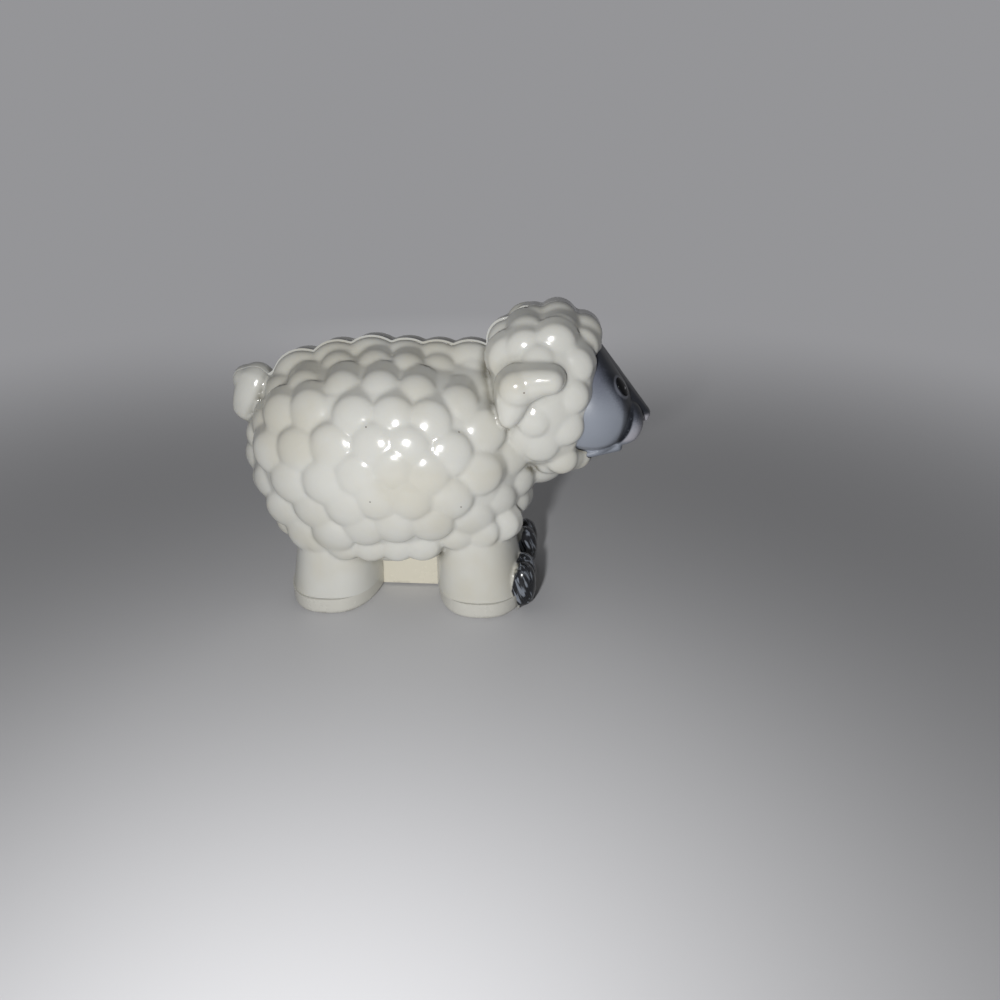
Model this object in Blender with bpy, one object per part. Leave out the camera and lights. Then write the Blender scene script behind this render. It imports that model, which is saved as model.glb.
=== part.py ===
import math

import bmesh
import bpy
from mathutils import Matrix, Vector
from mathutils.bvhtree import BVHTree

# Toy sheep moulded in hard plastic: two wool shells that meet on a flat seam, a face
# let into the head opening, and a base cap under the hollow legs.
# Nose towards +X, right side towards -Y, feet on z = 0.

for old in list(bpy.data.objects):
    bpy.data.objects.remove(old, do_unlink=True)

# Fits between pieces
fit_clearance = 0.0003
face_clearance = 0.00045
seam_side = -0.0016
shell_wall = 0.0016
cut_overrun = 0.0010
well_clear = 0.1200

# Wool body, without its tufts
body_middle_x = -0.0090
body_middle_z = 0.0290
body_half_length = 0.0274
body_half_width = 0.0190
body_half_height = 0.0200
body_fullness = 2.3

# Haunches, without their tufts
haunch_middle_x = -0.0205
haunch_middle_z = 0.0175
haunch_half_length = 0.0120
haunch_half_width = 0.0140
haunch_half_height = 0.0092

# Shoulders and chest, without their tufts
chest_middle_x = 0.0048
chest_middle_z = 0.0293
chest_half_length = 0.0135
chest_half_width = 0.0150
chest_half_height = 0.0186

# Wool head, without its tufts
head_middle_x = 0.0194
head_middle_z = 0.0419
head_half_length = 0.0110
head_half_width = 0.0126
head_half_height = 0.0148
head_fullness = 2.6
head_lean_deg = 8.0

# Wool under the chin, without its tufts
chin_middle_x = 0.0222
chin_middle_z = 0.0302
chin_half_length = 0.0062
chin_half_width = 0.0088
chin_half_height = 0.0042

# Tufts of moulded wool: round pegs along the mould's draw, each with a domed end
tuft_rim_radius = 0.0036
tuft_flank_radius = 0.0046
tuft_rim_depth = 0.0027
tuft_flank_depth = 0.0017
tuft_rim_rise = 0.0014
tuft_flank_rise = 0.0011
belly_tuft_rise = 0.0019
head_tuft_depth = 0.0020
head_tuft_rise = 0.0011
head_tuft_spread = 1.28
back_tuft_radius = 0.0062
crest_tuft_radius = 0.0038
crest_row_side = -0.0022
first_ring_side = -0.0012
tuft_spacing = 0.0052
flat_side_share = 1.1
belly_slope_share = 0.4
seam_ring_share = 0.80
side_ring_share = 0.84
face_edge_x = 0.0275
face_edge_z = 0.0500
sight_steps = 800
peg_detail = 3
wool_grain = 0.00060
hollow_grain = 0.00090
wool_softening_steps = 2
wool_triangles = 7200
hollow_triangles = 1000

# Tail, a long lobe under a rounder one
tail_half_thickness = 0.0037
tail_half_width = 0.0042
tail_half_length = 0.0060
tail_seat = 0.0008
tail_rise = 0.0108
tail_middle_x = body_middle_x - body_half_length + tail_seat
tail_middle_z = body_middle_z + tail_rise
tail_fullness = 2.5
tail_lean_deg = 20.0
tail_top_half_size = (0.0030, 0.0032, 0.0030)
tail_top_set_back = 0.0007
tail_top_rise = 0.0024

# Ears, as a curled lobe from root to tip, with a dome in its bend
ear_depth = 0.0022
ear_root_rise = 0.0026
ear_tip_rise = 0.0028
ear_dome_rise = 0.0033
ear_beads = 12

# Legs and feet
leg_half_length = 0.0091
leg_half_spread = 0.0154
leg_fullness = 2.5
leg_top_share = 0.80
leg_top_height = 0.0200
rear_leg_set_in = 0.0149
front_leg_set_on = 0.0033
rear_leg_x = body_middle_x - body_half_length + rear_leg_set_in
front_leg_x = chest_middle_x + front_leg_set_on
toe_half_length = 0.0024
toe_half_width = 0.0024
toe_half_height = 0.0046
toe_middle_z = 0.0074
toe_reach = 0.0110
toe_sides = (0.0054, 0.0086)
toe_fullness = 2.2

# Base cap
pad_height = 0.0035
pad_edge = 0.0012
spine_half_width = 0.0032
spine_lift = 0.0005
spine_top = 0.0092
spine_reach = 0.0057
spine_rear_x = rear_leg_x - spine_reach
spine_front_x = front_leg_x + spine_reach
lug_height = 0.0030
leg_steps = 24
edge_steps = 3
round_profile = 0.5

# Face: cheeks, brow, nose, muzzle and jaw, each placed from the middle of the head
cheek_from_head = (0.0087, 0.0032, -0.0032)
cheek_half_size = (0.0074, 0.0066, 0.0076)
cheek_fullness = 2.4
brow_from_head = (0.0072, 0.0064)
brow_half_size = (0.0034, 0.0066, 0.0034)
nose_from_head = (0.0190, -0.0046)
nose_half_size = (0.0010, 0.0020, 0.0010)
nose_fullness = 2.2
nose_lip_from_head = (0.0191, -0.0050)
nose_lip_half_size = (0.0008, 0.0017, 0.0012)
muzzle_from_head = (0.0143, 0.0034, -0.0054)
muzzle_half_size = (0.0041, 0.0032, 0.0044)
jaw_from_head = (0.0096, -0.0111)
jaw_half_size = (0.0052, 0.0056, 0.0011)
jaw_fullness = 2.8
jaw_tilt_deg = 20.0
jaw_lip_from_head = (0.0136, -0.0099)
jaw_lip_half_size = (0.0010, 0.0048, 0.0011)
eye_half_size = (0.0008, 0.0015, 0.0019)
eye_rise = 0.0004
face_back_from_head = 0.0009
face_back_x = head_middle_x + face_back_from_head
face_wall = 0.0020
face_hollow_fullness = 2.3
flange_thickness = 0.0020
flange_lip = 0.0014
flange_fullness = 4.0
face_grain = 0.00040
face_triangles = 1500

# Locating posts, one on each shell, with a pin on the left one
post_radius = 0.0022
pin_radius = 0.0011
pin_length = 0.0030
body_post_shares = ((-0.557, 0.192), (0.300, -0.465))
head_post_share = (-0.304, 0.514)
round_steps = 16
sharp_edge_deg = 50.0

# Sight point for places given in picture pixels
sight_point = (0.0196, -0.1358, 0.0810)
sight_pitch_deg = 24.7
sight_yaw_deg = 3.5
picture_focal_px = 751
picture_middle_px = 500

# Tufts beside the seam along the back and over the head, by where their tops are seen
back_row_px = ((303, 350), (338, 341), (372, 336.5), (406, 339.3), (437, 341), (470, 341))
crest_row_px = ((497, 322), (530, 305), (562, 301), (594, 317))

# Tufts on the right flank, row by row from the back to the belly
flank_tufts_px = (
    (300, 359), (336, 362), (374, 361), (407, 364), (440, 364), (474, 363),
    (275, 388), (301, 384), (341, 387), (379, 387), (416, 391), (459, 402),
    (262, 424), (281, 416), (309, 412), (354, 419), (392, 420), (428, 424), (484, 432),
    (251, 457), (271, 453), (297, 451), (331, 448), (374, 447), (406, 450), (449, 455),
    (511, 457), (266, 484), (290, 483), (323, 484), (356, 477), (392, 470), (427, 475),
    (480, 475), (520, 483), (284, 511), (314, 511), (346, 508), (376, 500), (410, 500),
    (450, 500), (499, 503), (519, 508), (306, 535), (334, 534), (362, 529), (394, 526),
    (431, 524), (473, 520), (497, 530), (331, 556), (357, 557), (386, 556), (420, 555),
    (458, 548),
)

# Tufts on the right side of the head and on the throat, each with its radius
head_tufts_px = (
    (588, 338, 15), (555, 331, 20), (538, 352, 15),
    (507, 352, 20), (523, 340, 17), (577, 367, 17), (576, 400, 15), (571, 430, 17),
    (570, 454, 12), (543, 466, 13), (535, 427, 14), (513, 460, 15), (540, 447, 14),
    (520, 440, 14),
)

# Ear line, from its root behind the eye to its tip over the neck, with the radius along it
ear_line_px = ((550, 379, 14.5), (538, 378, 15.5), (525, 380, 17), (513, 388, 19.5), (510, 398, 19),
               (511, 408, 16), (513, 415, 12.5))
ear_dome_px = (515, 387, 20)
eye_px = (622.8, 386.4)


# Shapes

def new_object(name, mesh):
    made = bpy.data.objects.new(name, mesh)
    bpy.context.collection.objects.link(made)
    return made


def object_from(shape, name):
    mesh = bpy.data.meshes.new(name)
    shape.to_mesh(mesh)
    shape.free()
    return new_object(name, mesh)


def add_ball(shape, middle, half_size, fullness=2.0, detail=2, turn=None):
    """Add a ball or a fuller, box-like ball to the shape, and return its points."""
    made = bmesh.ops.create_icosphere(shape, subdivisions=detail, radius=1)
    for vert in made["verts"]:
        unit = vert.co.normalized()
        full = [math.copysign(abs(value) ** (2.0 / fullness), value) for value in unit]
        place = Vector([value * half for value, half in zip(full, half_size)])
        if turn is not None:
            place = turn @ place
        vert.co = place + Vector(middle)
    return made["verts"]


def modified(made):
    """Keep what the object's modifiers give, and take them off."""
    graph = bpy.context.evaluated_depsgraph_get()
    mesh = bpy.data.meshes.new_from_object(made.evaluated_get(graph))
    made.modifiers.clear()
    made.data = mesh
    return made


def cast_skin(made, grain, softening, triangles):
    """Melt overlapping balls into one moulded skin with about this many triangles."""
    remesh = made.modifiers.new("skin", "REMESH")
    remesh.mode = "VOXEL"
    remesh.voxel_size = grain
    modified(made)
    if softening:
        smooth = made.modifiers.new("soften", "SMOOTH")
        smooth.factor = 0.5
        smooth.iterations = softening
    lighten = made.modifiers.new("lighten", "DECIMATE")
    faces = sum(len(face.vertices) - 2 for face in made.data.polygons)
    lighten.ratio = min(1.0, triangles / faces)
    return modified(made)


def carve(made, tool, how="DIFFERENCE", solver="EXACT"):
    cut = made.modifiers.new(how.lower(), "BOOLEAN")
    cut.operation = how
    cut.solver = solver
    cut.object = tool
    modified(made)
    bpy.data.objects.remove(tool, do_unlink=True)
    return made


def carve_wool(made, tool, how="DIFFERENCE"):
    """The dense wool skin is cut by the solver made for closed skins: the exact one loses it."""
    return carve(made, tool, how, "MANIFOLD")


def block(name, low, high):
    shape = bmesh.new()
    bmesh.ops.create_cube(shape, size=1)
    size = Vector(high) - Vector(low)
    middle = (Vector(high) + Vector(low)) / 2
    for vert in shape.verts:
        vert.co = Vector([value * side for value, side in zip(vert.co, size)]) + middle
    return object_from(shape, name)


def prism(name, outline, low, high, shares=(1.0, 1.0), middle=(0, 0)):
    """Stand an outline up from one height to another, drawn in towards a place at each end."""
    shape = bmesh.new()
    verts = [shape.verts.new((x, y, low)) for x, y in outline]
    face = shape.faces.new(verts)
    made = bmesh.ops.extrude_face_region(shape, geom=[face])
    upper = {item for item in made["geom"] if isinstance(item, bmesh.types.BMVert)}
    for vert in shape.verts:
        share = shares[1] if vert in upper else shares[0]
        vert.co.x = middle[0] + (vert.co.x - middle[0]) * share
        vert.co.y = middle[1] + (vert.co.y - middle[1]) * share
        vert.co.z = high if vert in upper else low
    bmesh.ops.recalc_face_normals(shape, faces=shape.faces)
    return object_from(shape, name)


def rod(name, x, z, radius, start_y, end_y):
    """A round rod across the animal."""
    shape = bmesh.new()
    bmesh.ops.create_cone(
        shape, cap_ends=True, segments=round_steps, radius1=radius, radius2=radius,
        depth=abs(end_y - start_y), matrix=Matrix.Rotation(math.radians(90), 4, "X"))
    middle = Vector((x, (start_y + end_y) / 2, z))
    for vert in shape.verts:
        vert.co += middle
    return object_from(shape, name)


# Places seen from the sight point

def sight_line(place_px):
    pitch = math.radians(sight_pitch_deg)
    yaw = math.radians(sight_yaw_deg)
    right = Vector((math.cos(yaw), math.sin(yaw), 0))
    ahead = Vector((-math.sin(yaw) * math.cos(pitch), math.cos(yaw) * math.cos(pitch), -math.sin(pitch)))
    up = right.cross(ahead)
    across = (place_px[0] - picture_middle_px) / picture_focal_px
    down = (place_px[1] - picture_middle_px) / picture_focal_px
    return (ahead + right * across - up * down).normalized()


def met_place(tree, start, direction):
    """Where a line first meets the form, or else where it passes nearest to it."""
    place, outward, index, distance = tree.ray_cast(start, direction)
    if place is not None:
        return place, outward
    nearest = None
    for step in range(sight_steps):
        here = start + direction * (2 * well_clear * step / sight_steps)
        place, outward, index, distance = tree.find_nearest(here)
        if nearest is None or distance < nearest[0]:
            nearest = (distance, place, outward)
    return nearest[1], nearest[2]


def seen_place(tree, place_px):
    return met_place(tree, Vector(sight_point), sight_line(place_px))


def seen_size(place, size_px):
    """The real size of something that looks this many pixels wide at its place."""
    middle_line = sight_line((picture_middle_px, picture_middle_px))
    return size_px * (place - Vector(sight_point)).dot(middle_line) / picture_focal_px


# The form under the wool

def wool_forms(shape, inset=0.0, detail=4):
    body_half = (body_half_length - inset, body_half_width - inset, body_half_height - inset)
    add_ball(shape, (body_middle_x, 0, body_middle_z), body_half, body_fullness, detail)
    haunch_half = (haunch_half_length - inset, haunch_half_width - inset, haunch_half_height - inset)
    add_ball(shape, (haunch_middle_x, 0, haunch_middle_z), haunch_half, detail=detail)
    chest_half = (chest_half_length - inset, chest_half_width - inset, chest_half_height - inset)
    add_ball(shape, (chest_middle_x, 0, chest_middle_z), chest_half, detail=detail)
    head_half = (head_half_length - inset, head_half_width - inset, head_half_height - inset)
    lean = Matrix.Rotation(math.radians(head_lean_deg), 3, "Y")
    add_ball(shape, (head_middle_x, 0, head_middle_z), head_half, head_fullness, detail, lean)
    chin_half = (chin_half_length - inset, chin_half_width - inset, chin_half_height - inset)
    add_ball(shape, (chin_middle_x, 0, chin_middle_z), chin_half, detail=detail)


core = bmesh.new()
wool_forms(core)
core_tree = BVHTree.FromBMesh(core)
core.free()


def far_enough(place, tufts, least):
    return all((place - tuft[0]).length > least for tuft in tufts)


def crest_place(place_px):
    """Where a place seen on the seam lies, moved sideways onto the row beside it."""
    line = sight_line(place_px)
    seen = Vector(sight_point) + line * ((seam_side - sight_point[1]) / line.y)
    return Vector((seen.x, crest_row_side, seen.z))


def chosen_tufts():
    """The tufts that are chosen one by one: place, outward direction, radius, depth and rise."""
    tufts = []
    for place_px in flank_tufts_px:
        place, outward = seen_place(core_tree, place_px)
        flat = min(1.0, outward.y ** 2 * flat_side_share)
        radius = tuft_rim_radius + (tuft_flank_radius - tuft_rim_radius) * flat
        depth = tuft_rim_depth + (tuft_flank_depth - tuft_rim_depth) * flat
        rise = tuft_rim_rise + (tuft_flank_rise - tuft_rim_rise) * flat
        if outward.z < -belly_slope_share:
            rise = belly_tuft_rise
        tufts.append((place, outward, radius, depth, rise))
    for across_px, down_px, radius_px in head_tufts_px:
        place, outward = seen_place(core_tree, (across_px, down_px))
        radius = head_tuft_spread * seen_size(place, radius_px)
        tufts.append((place, outward, radius, head_tuft_depth, head_tuft_rise))
    for place_px in back_row_px:
        tufts.append((crest_place(place_px), Vector((0, 0, 1)), back_tuft_radius, tuft_rim_depth, 0))
    for place_px in crest_row_px:
        place = crest_place(place_px)
        outward = Vector((place.x - head_middle_x, 0, place.z - head_middle_z)).normalized()
        tufts.append((place, outward, crest_tuft_radius, tuft_rim_depth, 0))
    return tufts


def all_tufts():
    """The chosen tufts, then even rings over the parts out of sight."""
    tufts = chosen_tufts()
    rings = (
        (body_middle_x, body_middle_z, body_half_length, body_half_width),
        (head_middle_x, head_middle_z, head_half_length, head_half_width),
    )
    for middle_x, middle_z, half_length, half_width in rings:
        ring_count = int(half_width / tuft_spacing) + 1
        for ring in range(ring_count):
            side = first_ring_side - ring * tuft_spacing
            steps = int(math.tau * half_length / tuft_spacing)
            for step in range(steps):
                angle = math.tau * (step + 0.5 * (ring % 2)) / steps
                inward = Vector((-math.cos(angle), 0, -math.sin(angle)))
                start = Vector((middle_x, side, middle_z)) - inward * well_clear
                place, outward = met_place(core_tree, start, inward)
                least = tuft_spacing * (seam_ring_share if ring == 0 else side_ring_share)
                in_face = place.x > face_edge_x and place.z < face_edge_z
                if far_enough(place, tufts, least) and not in_face:
                    tufts.append((place, outward, tuft_rim_radius, tuft_rim_depth, tuft_rim_rise))
    return tufts


def add_pegs(shape, place, outward, radius, depth, rise):
    """A peg on each side, whose domed end stands this far out of the form at its place."""
    half_size = Vector((radius, depth, radius))
    reach = Vector([half * way for half, way in zip(half_size, outward)]).length
    middle = place + outward * (rise - reach)
    for side in (1, -1):
        made = bmesh.ops.create_icosphere(shape, subdivisions=peg_detail, radius=1)
        for vert in made["verts"]:
            if vert.co.y * side < 0:
                vert.co.y -= side
            spread = Vector([value * half for value, half in zip(vert.co, half_size)])
            vert.co = spread + Vector((middle.x, side * abs(middle.y), middle.z))


def add_wool(shape):
    wool_forms(shape)
    for tuft in all_tufts():
        add_pegs(shape, *tuft)


def add_ears(shape):
    knots = []
    for across_px, down_px, radius_px in (*ear_line_px, ear_dome_px):
        place, outward = seen_place(core_tree, (across_px, down_px))
        knots.append((place, outward, seen_size(place, radius_px)))
    add_pegs(shape, *knots.pop(), ear_depth, ear_dome_rise)
    for bead in range(ear_beads + 1):
        along = bead / ear_beads * (len(knots) - 1)
        first = min(int(along), len(knots) - 2)
        part = along - first
        place, outward, radius = [here + (there - here) * part
                                  for here, there in zip(knots[first], knots[first + 1])]
        rise = ear_root_rise + (ear_tip_rise - ear_root_rise) * bead / ear_beads
        add_pegs(shape, place, outward.normalized(), radius, ear_depth, rise)


def add_tail(shape):
    turn = Matrix.Rotation(math.radians(tail_lean_deg), 3, "Y")
    half_size = (tail_half_thickness, tail_half_width, tail_half_length)
    add_ball(shape, (tail_middle_x, 0, tail_middle_z), half_size, tail_fullness, 3, turn)
    top = (tail_middle_x - tail_top_set_back, 0, tail_middle_z + tail_top_rise)
    add_ball(shape, top, tail_top_half_size, tail_fullness, 3)


def leg_outline(middle_x, inset, side, inner):
    """A half oval: flat towards the middle of the animal, round on the outside."""
    points = []
    for step in range(leg_steps + 1):
        angle = math.pi * step / leg_steps
        across = math.copysign(abs(math.cos(angle)) ** (2.0 / leg_fullness), math.cos(angle))
        out = math.sin(angle) ** (2.0 / leg_fullness)
        x = middle_x + (leg_half_length - inset) * across
        y = inner + (leg_half_spread - inset - inner) * out
        points.append((x, y * side))
    return points


def leg_prism(name, middle_x, side, inset, inner, low, high):
    """A leg, or something that follows its walls: its outer end and side slant inwards."""
    shares = [1 - (1 - leg_top_share) * height / leg_top_height for height in (low, high)]
    inner_x = middle_x + math.copysign(leg_half_length, rear_leg_x + front_leg_x - 2 * middle_x)
    outline = leg_outline(middle_x, inset, side, inner)
    return prism(name, outline, low, high, shares, (inner_x, side * spine_half_width))


def add_legs(shape):
    for middle_x in (rear_leg_x, front_leg_x):
        for side in (1, -1):
            leg = leg_prism("leg", middle_x, side, 0, spine_half_width, 0, leg_top_height)
            shape.from_mesh(leg.data)
            bpy.data.objects.remove(leg, do_unlink=True)
    for toe_side in toe_sides:
        for side in (1, -1):
            middle = (front_leg_x + toe_reach - toe_half_length, side * toe_side, toe_middle_z)
            add_ball(shape, middle, (toe_half_length, toe_half_width, toe_half_height), toe_fullness, 3)


def whole_wool():
    shape = bmesh.new()
    add_wool(shape)
    add_ears(shape)
    add_tail(shape)
    add_legs(shape)
    return cast_skin(object_from(shape, "wool"), wool_grain, wool_softening_steps, wool_triangles)


# The face

def from_head(place):
    """A place of the face, given from the middle of the head; without a side it lies in the middle."""
    side = place[1] if len(place) == 3 else 0
    return Vector((head_middle_x + place[0], side, head_middle_z + place[-1]))


def add_tight_skin(shape, balls):
    """The skin drawn tight over some balls: middle, half size and fullness of each."""
    skin = bmesh.new()
    for middle, half_size, fullness in balls:
        add_ball(skin, middle, half_size, fullness, 3)
    hull = bmesh.ops.convex_hull(skin, input=skin.verts[:])
    inside = [item for item in hull["geom_interior"] if isinstance(item, bmesh.types.BMVert)]
    bmesh.ops.delete(skin, geom=inside, context="VERTS")
    skin_object = object_from(skin, "skin")
    shape.from_mesh(skin_object.data)
    bpy.data.objects.remove(skin_object, do_unlink=True)


def face_form(name, grow, triangles):
    def grown(half_size):
        return [half + grow for half in half_size]

    shape = bmesh.new()
    cheek = from_head(cheek_from_head)
    cheeks = [((cheek.x, cheek.y * side, cheek.z), grown(cheek_half_size), cheek_fullness) for side in (1, -1)]
    brow = (from_head(brow_from_head), grown(brow_half_size), nose_fullness)
    nose = (from_head(nose_from_head), grown(nose_half_size), nose_fullness)
    add_tight_skin(shape, [*cheeks, brow])
    add_tight_skin(shape, [brow, nose])
    add_ball(shape, from_head(nose_lip_from_head), grown(nose_lip_half_size), cheek_fullness, 3)
    muzzle = from_head(muzzle_from_head)
    for side in (1, -1):
        add_ball(shape, (muzzle.x, muzzle.y * side, muzzle.z), grown(muzzle_half_size), nose_fullness, 3)
    tilt = Matrix.Rotation(-math.radians(jaw_tilt_deg), 3, "Y")
    add_ball(shape, from_head(jaw_from_head), grown(jaw_half_size), jaw_fullness, 3, tilt)
    add_ball(shape, from_head(jaw_lip_from_head), grown(jaw_lip_half_size), cheek_fullness, 3, tilt)
    flange_middle = (face_back_x + flange_thickness / 2, 0, cheek.z)
    flange_side = cheek.y + cheek_half_size[1] - flange_lip + grow
    flange_size = (flange_thickness / 2 + grow, flange_side, cheek_half_size[2] + grow)
    add_ball(shape, flange_middle, flange_size, flange_fullness, 4)
    return cast_skin(object_from(shape, name), face_grain, 1, triangles)


def face_insert():
    face = face_form("face_insert", 0, face_triangles)
    shape = bmesh.new()
    shape.from_mesh(face.data)
    tree = BVHTree.FromBMesh(shape)
    shape.free()
    place, outward = seen_place(tree, eye_px)
    slope = (from_head(nose_from_head) - from_head(brow_from_head)).normalized()
    along = (slope - outward * slope.dot(outward)).normalized()
    across = along.cross(outward)
    for side in (1, -1):
        flip = Matrix.Diagonal((1, side, 1))
        turn = flip @ Matrix((outward, across, along)).transposed()
        eye = bmesh.new()
        middle = place - outward * (eye_half_size[0] - eye_rise)
        add_ball(eye, flip @ middle, eye_half_size, turn=turn)
        bmesh.ops.recalc_face_normals(eye, faces=eye.faces)
        carve(face, object_from(eye, "eye"), "UNION")
    hollow = bmesh.new()
    cheek = from_head(cheek_from_head)
    inner_length = cheek.x + cheek_half_size[0] - face_wall - face_back_x
    inner = (inner_length, cheek.y + cheek_half_size[1] - face_wall, cheek_half_size[2] - face_wall)
    add_ball(hollow, (face_back_x, 0, cheek.z), inner, face_hollow_fullness, 3)
    carve(face, object_from(hollow, "hollow"))
    back = block("back", (-well_clear, -well_clear, -well_clear), (face_back_x, well_clear, well_clear))
    return carve(face, back)


# The base cap

def oval(middle_x, inset):
    right = leg_outline(middle_x, inset, -1, 0)
    left = leg_outline(middle_x, inset, 1, 0)
    return right + left[-2:0:-1]


def pad(name, middle_x):
    shape_object = prism(name, oval(middle_x, 0), 0, pad_height)
    shape = bmesh.new()
    shape.from_mesh(shape_object.data)
    rim = [edge for edge in shape.edges if all(vert.co.z < pad_height / 2 for vert in edge.verts)]
    bmesh.ops.bevel(
        shape, geom=rim, offset=pad_edge, segments=edge_steps, profile=round_profile, affect="EDGES")
    shape.to_mesh(shape_object.data)
    shape.free()
    return shape_object


def base_cap():
    cap = pad("base_cap", rear_leg_x)
    carve(cap, pad("front_pad", front_leg_x), "UNION")
    spine_low = (spine_rear_x, -spine_half_width, spine_lift)
    spine = block("spine", spine_low, (spine_front_x, spine_half_width, spine_top))
    carve(cap, spine, "UNION")
    lug_inset = shell_wall + fit_clearance
    for middle_x in (rear_leg_x, front_leg_x):
        for side in (1, -1):
            lug_inner = spine_half_width + lug_inset + fit_clearance
            lug = leg_prism("lug", middle_x, side, lug_inset, lug_inner, pad_height / 2, pad_height + lug_height)
            carve(cap, lug, "UNION")
    return cap


# The shells

def hollow_form():
    shape = bmesh.new()
    wool_forms(shape, shell_wall, 3)
    return cast_skin(object_from(shape, "hollow"), hollow_grain, 1, hollow_triangles)


def post_places():
    """Two posts in the body and one in the head, as shares of their half sizes."""
    places = [(body_middle_x + along * body_half_length, body_middle_z + up * body_half_height)
              for along, up in body_post_shares]
    along, up = head_post_share
    places.append((head_middle_x + along * head_half_length, head_middle_z + up * head_half_height))
    return places


def wall_side(x, z):
    """How far out the form under the wool lies at this place of the flank."""
    start = Vector((x, -well_clear, z))
    place, outward, index, distance = core_tree.ray_cast(start, Vector((0, 1, 0)))
    return -place.y - shell_wall / 2


def shell(name, skin, side):
    """One half of the wool: side -1 is the right shell, side 1 the left one."""
    made = new_object(name, skin.data.copy())
    edge = seam_side + side * fit_clearance / 2
    limits = sorted((edge, edge - side * well_clear))
    carve_wool(made, block("half", (-well_clear, limits[0], -well_clear), (well_clear, limits[1], well_clear)))
    for place_x, place_z in post_places():
        wall_y = side * wall_side(place_x, place_z)
        carve_wool(made, rod("post", place_x, place_z, post_radius, wall_y, edge), "UNION")
    return made


def make_shells():
    skin = whole_wool()
    hollow = hollow_form()
    socket = face_form("socket", face_clearance, face_triangles)
    carve_wool(skin, hollow)
    carve_wool(skin, socket)
    leg_end = pad_height + fit_clearance
    carve_wool(skin, block("floor", (-well_clear, -well_clear, -well_clear), (well_clear, well_clear, leg_end)))
    slot_low = (spine_rear_x - fit_clearance, -spine_half_width - fit_clearance, -well_clear)
    slot_high = (spine_front_x + fit_clearance, spine_half_width + fit_clearance, spine_top + fit_clearance)
    carve_wool(skin, block("slot", slot_low, slot_high))
    for middle_x in (rear_leg_x, front_leg_x):
        for side in (1, -1):
            bore_inner = spine_half_width + fit_clearance + shell_wall
            bore = leg_prism("bore", middle_x, side, shell_wall, bore_inner, 0, leg_top_height)
            carve_wool(skin, bore)
    right = shell("body_shell_right", skin, -1)
    left = shell("body_shell_left", skin, 1)
    bpy.data.objects.remove(skin, do_unlink=True)
    for place_x, place_z in post_places():
        hole_end = seam_side - pin_length - fit_clearance
        hole = rod("hole", place_x, place_z, pin_radius + fit_clearance, seam_side + cut_overrun, hole_end)
        carve_wool(right, hole)
        pin = rod("pin", place_x, place_z, pin_radius, seam_side + cut_overrun, seam_side - pin_length)
        carve_wool(left, pin, "UNION")
    return right, left


# Finishes

def finish(made, name, colour, roughness):
    material = bpy.data.materials.new(name)
    material.use_nodes = True
    shader = material.node_tree.nodes["Principled BSDF"]
    shader.inputs["Base Color"].default_value = (*colour, 1)
    shader.inputs["Roughness"].default_value = roughness
    shader.inputs["Metallic"].default_value = 0
    made.data.materials.clear()
    made.data.materials.append(material)
    made.data.shade_smooth()
    made.data.set_sharp_from_angle(angle=math.radians(sharp_edge_deg))


right_shell, left_shell = make_shells()
face = face_insert()
cap = base_cap()

finish(right_shell, "wool_plastic_right", (0.60, 0.59, 0.55), 0.25)
finish(left_shell, "wool_plastic_left", (0.60, 0.59, 0.55), 0.25)
finish(face, "face_plastic", (0.26, 0.28, 0.35), 0.35)
finish(cap, "base_plastic", (0.68, 0.64, 0.54), 0.30)
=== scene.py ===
import math

import bpy
from mathutils import Matrix, Vector


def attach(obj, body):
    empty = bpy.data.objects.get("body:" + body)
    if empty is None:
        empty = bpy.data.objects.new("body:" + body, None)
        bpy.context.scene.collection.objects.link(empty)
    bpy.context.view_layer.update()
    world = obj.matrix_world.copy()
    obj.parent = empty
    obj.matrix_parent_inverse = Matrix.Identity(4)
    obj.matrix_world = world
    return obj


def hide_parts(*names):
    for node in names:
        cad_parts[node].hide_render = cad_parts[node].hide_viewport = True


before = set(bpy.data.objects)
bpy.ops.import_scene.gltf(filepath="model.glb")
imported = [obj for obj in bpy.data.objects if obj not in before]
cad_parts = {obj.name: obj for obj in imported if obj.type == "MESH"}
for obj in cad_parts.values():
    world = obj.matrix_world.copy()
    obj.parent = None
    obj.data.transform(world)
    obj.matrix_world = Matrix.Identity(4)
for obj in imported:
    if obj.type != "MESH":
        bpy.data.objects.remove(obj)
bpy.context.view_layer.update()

# The view: a hand's breadth from the toy's right shoulder and a little above it. Places that
# are given in picture pixels lie on sight lines from here.
sight_point = Vector((0.0196, -0.1358, 0.0810))
sight_pitch = math.radians(24.7)
sight_yaw = math.radians(3.5)
picture_middle_px = 500
picture_focal_px = 751
sensor_width_mm = 36

level = math.radians(90)
bpy.ops.object.camera_add(location=sight_point, rotation=(level - sight_pitch, 0, sight_yaw))
camera = bpy.context.object
camera.data.sensor_width = sensor_width_mm
camera.data.lens = sensor_width_mm * picture_focal_px / (2 * picture_middle_px)
camera.data.clip_start = 0.005
bpy.context.scene.camera = camera
bpy.context.view_layer.update()


def sight_line(place_px):
    """The direction from the camera towards a place in the picture."""
    across = (place_px[0] - picture_middle_px) / picture_focal_px
    down = (place_px[1] - picture_middle_px) / picture_focal_px
    return (camera.matrix_world.to_3x3() @ Vector((across, -down, -1))).normalized()


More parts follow.
